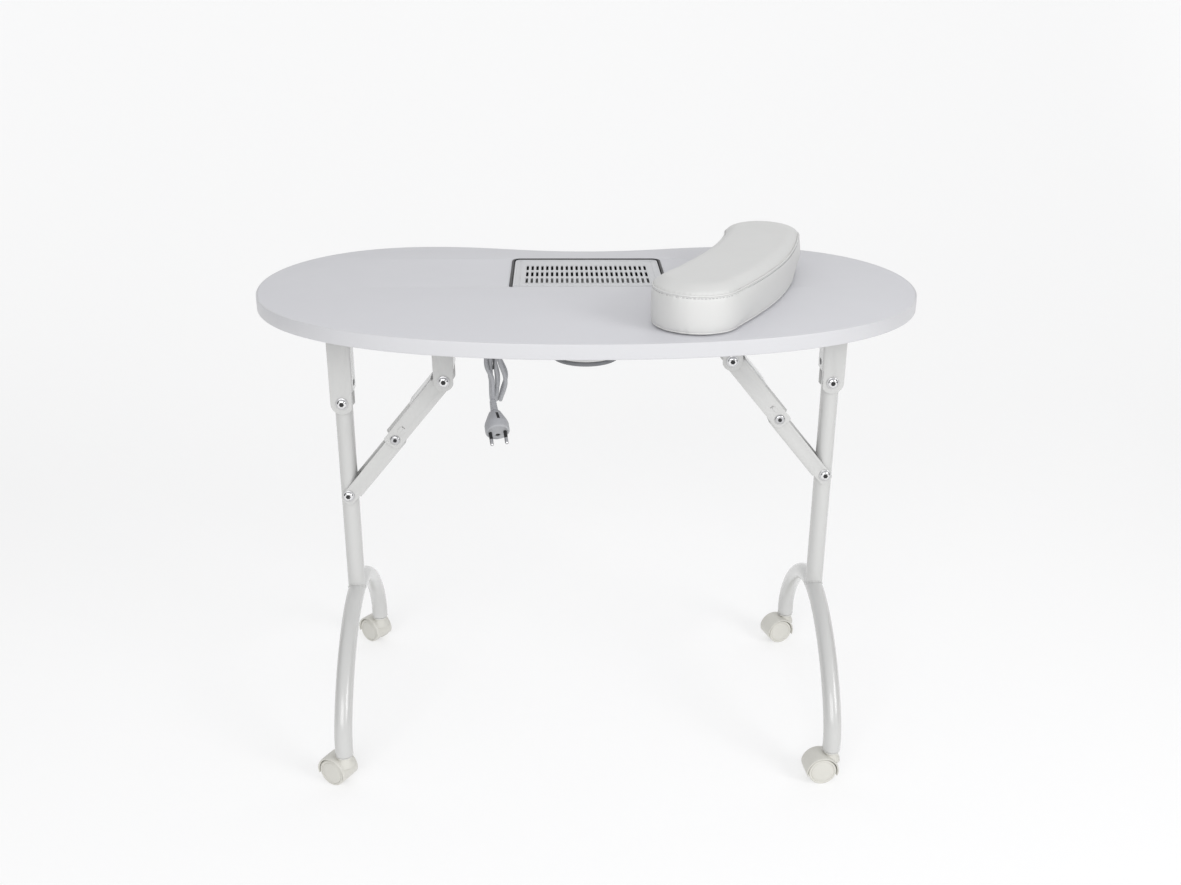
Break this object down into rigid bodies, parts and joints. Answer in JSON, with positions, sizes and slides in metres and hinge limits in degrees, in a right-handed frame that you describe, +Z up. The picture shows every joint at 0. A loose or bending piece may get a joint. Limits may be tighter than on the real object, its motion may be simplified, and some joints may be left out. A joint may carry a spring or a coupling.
{
  "type": "manicure table",
  "caption": "Portable manicure table with a kidney-shaped top, a slotted dust vent and fan, an arm cushion, and two folding legs on swivel casters.",
  "frame": {"origin": "on the floor under the middle of the tabletop", "axes": "+X to the right along the top's length, +Y towards the concave rear edge and the vent, +Z up"},
  "size_m": [0.9, 0.494, 0.7243],
  "materials": {
    "laminate": "satin melamine laminate on board",
    "edge_band": "semi-gloss plastic edging",
    "white_paint": "gloss white powder coat",
    "white_plastic": "moulded plastic",
    "dark_plastic": "matt black plastic",
    "silver_panel": "satin silver",
    "grey_plastic": "satin grey plastic",
    "black_plastic": "semi-gloss black plastic",
    "filter_mat": "loose fibre mat",
    "steel": "zinc-plated steel",
    "caster_plastic": "warm white nylon",
    "socket_plastic": "white nylon",
    "cord_pvc": "grey PVC",
    "leatherette": "fine-grained white leatherette"
  },
  "bodies": {
    "top": {"tabletop": "laminate", "edge_band": "edge_band", "vent_frame": "dark_plastic", "fan_housing": "white_plastic", "dust_filter": "filter_mat", "fan_motor": "black_plastic", "fan_guard": "grey_plastic", "switch_body": "black_plastic", "cord_gland": "cord_pvc", "cord_lead": "cord_pvc", "cord_hank": "cord_pvc", "cord_tail": "cord_pvc", "cord_tie": "dark_plastic", "plug": "cord_pvc", "leg_bracket_left": "white_paint", "leg_pivot_bolt_left": "steel", "brace_bracket_left": "white_paint", "brace_pivot_pin_left": "steel", "leg_bracket_right": "white_paint", "leg_pivot_bolt_right": "steel", "brace_bracket_right": "white_paint", "brace_pivot_pin_right": "steel"},
    "grille": {"vent_grille": "silver_panel"},
    "fan": {"fan_rotor": "black_plastic"},
    "rocker": {"switch_rocker": "black_plastic"},
    "cushion": {"arm_cushion": "leatherette"},
    "leg_left": {"leg_post_left": "white_paint", "foot_arch_left": "white_paint", "brace_foot_bolt_left": "steel", "caster_socket_front_left": "socket_plastic", "caster_socket_rear_left": "socket_plastic"},
    "upper_link_left": {"upper_link_left": "white_paint", "knee_rivet_front_left": "steel", "knee_rivet_rear_left": "steel"},
    "lower_link_left": {"lower_link_left": "white_paint"},
    "leg_right": {"leg_post_right": "white_paint", "foot_arch_right": "white_paint", "brace_foot_bolt_right": "steel", "caster_socket_front_right": "socket_plastic", "caster_socket_rear_right": "socket_plastic"},
    "upper_link_right": {"upper_link_right": "white_paint", "knee_rivet_front_right": "steel", "knee_rivet_rear_right": "steel"},
    "lower_link_right": {"lower_link_right": "white_paint"},
    "caster_front_left": {"caster_hood_front_left": "caster_plastic"},
    "wheels_front_left": {"caster_axle_front_left": "steel", "wheel_a_front_left": "caster_plastic", "wheel_b_front_left": "caster_plastic"},
    "caster_front_right": {"caster_hood_front_right": "caster_plastic"},
    "wheels_front_right": {"caster_axle_front_right": "steel", "wheel_a_front_right": "caster_plastic", "wheel_b_front_right": "caster_plastic"},
    "caster_rear_left": {"caster_hood_rear_left": "caster_plastic"},
    "wheels_rear_left": {"caster_axle_rear_left": "steel", "wheel_a_rear_left": "caster_plastic", "wheel_b_rear_left": "caster_plastic"},
    "caster_rear_right": {"caster_hood_rear_right": "caster_plastic"},
    "wheels_rear_right": {"caster_axle_rear_right": "steel", "wheel_a_rear_right": "caster_plastic", "wheel_b_rear_right": "caster_plastic"}
  },
  "joints": [
    {"name": "grille_lift", "type": "slide", "parent": "top", "child": "grille", "axis": [0, 0, 1], "range_m": [0, 0.06]},
    {"name": "fan_spin", "type": "hinge", "parent": "top", "child": "fan", "pos_m": [-0.002, 0.06, 0.575], "axis": [0, 0, 1], "continuous": true},
    {"name": "switch_press", "type": "hinge", "parent": "top", "child": "rocker", "pos_m": [0.13, -0.15, 0.6323], "axis": [0, -1, 0], "range_deg": [0, 24]},
    {"name": "cushion_lift", "type": "slide", "parent": "top", "child": "cushion", "axis": [0, 0, 1], "range_m": [0, 0.12]},
    {"name": "leg_fold_left", "type": "hinge", "parent": "top", "child": "leg_left", "pos_m": [-0.343, 0.005, 0.506], "axis": [0, -1, 0], "range_deg": [0, 90]},
    {"name": "upper_link_turn_left", "type": "hinge", "parent": "top", "child": "upper_link_left", "pos_m": [-0.2, 0.005, 0.54], "axis": [0, 1, 0], "range_deg": [0, 45.5]},
    {"name": "lower_link_turn_left", "type": "hinge", "parent": "leg_left", "child": "lower_link_left", "pos_m": [-0.343, 0.005, 0.365], "axis": [0, -1, 0], "range_deg": [0, 27.3]},
    {"name": "leg_fold_right", "type": "hinge", "parent": "top", "child": "leg_right", "pos_m": [0.343, 0.005, 0.535], "axis": [0, 1, 0], "range_deg": [0, 90]},
    {"name": "upper_link_turn_right", "type": "hinge", "parent": "top", "child": "upper_link_right", "pos_m": [0.2, 0.005, 0.569], "axis": [0, -1, 0], "range_deg": [0, 45.5]},
    {"name": "lower_link_turn_right", "type": "hinge", "parent": "leg_right", "child": "lower_link_right", "pos_m": [0.343, 0.005, 0.394], "axis": [0, 1, 0], "range_deg": [0, 27.3]},
    {"name": "swivel_front_left", "type": "hinge", "parent": "leg_left", "child": "caster_front_left", "pos_m": [-0.343, -0.187, 0.04], "axis": [0, 0, 1], "continuous": true},
    {"name": "roll_front_left", "type": "hinge", "parent": "caster_front_left", "child": "wheels_front_left", "pos_m": [-0.35512, -0.18, 0.02], "axis": [-0.5, -0.866, 0], "continuous": true},
    {"name": "swivel_front_right", "type": "hinge", "parent": "leg_right", "child": "caster_front_right", "pos_m": [0.343, -0.187, 0.04], "axis": [0, 0, 1], "continuous": true},
    {"name": "roll_front_right", "type": "hinge", "parent": "caster_front_right", "child": "wheels_front_right", "pos_m": [0.32905, -0.18822, 0.02], "axis": [0.0872, -0.9962, 0], "continuous": true},
    {"name": "swivel_rear_left", "type": "hinge", "parent": "leg_left", "child": "caster_rear_left", "pos_m": [-0.343, 0.197, 0.04], "axis": [0, 0, 1], "continuous": true},
    {"name": "roll_rear_left", "type": "hinge", "parent": "caster_rear_left", "child": "wheels_rear_left", "pos_m": [-0.35373, 0.206, 0.02], "axis": [-0.6428, -0.766, 0], "continuous": true},
    {"name": "swivel_rear_right", "type": "hinge", "parent": "leg_right", "child": "caster_rear_right", "pos_m": [0.343, 0.197, 0.04], "axis": [0, 0, 1], "continuous": true},
    {"name": "roll_rear_right", "type": "hinge", "parent": "caster_rear_right", "child": "wheels_rear_right", "pos_m": [0.32969, 0.19267, 0.02], "axis": [0.309, -0.9511, 0], "continuous": true}
  ],
  "couplings": [
    {"joint": "upper_link_turn_left", "follows": "leg_fold_left", "ratio": 0.50489},
    {"joint": "lower_link_turn_left", "follows": "leg_fold_left", "ratio": 0.30247},
    {"joint": "upper_link_turn_right", "follows": "leg_fold_right", "ratio": 0.50489},
    {"joint": "lower_link_turn_right", "follows": "leg_fold_right", "ratio": 0.30247}
  ]
}
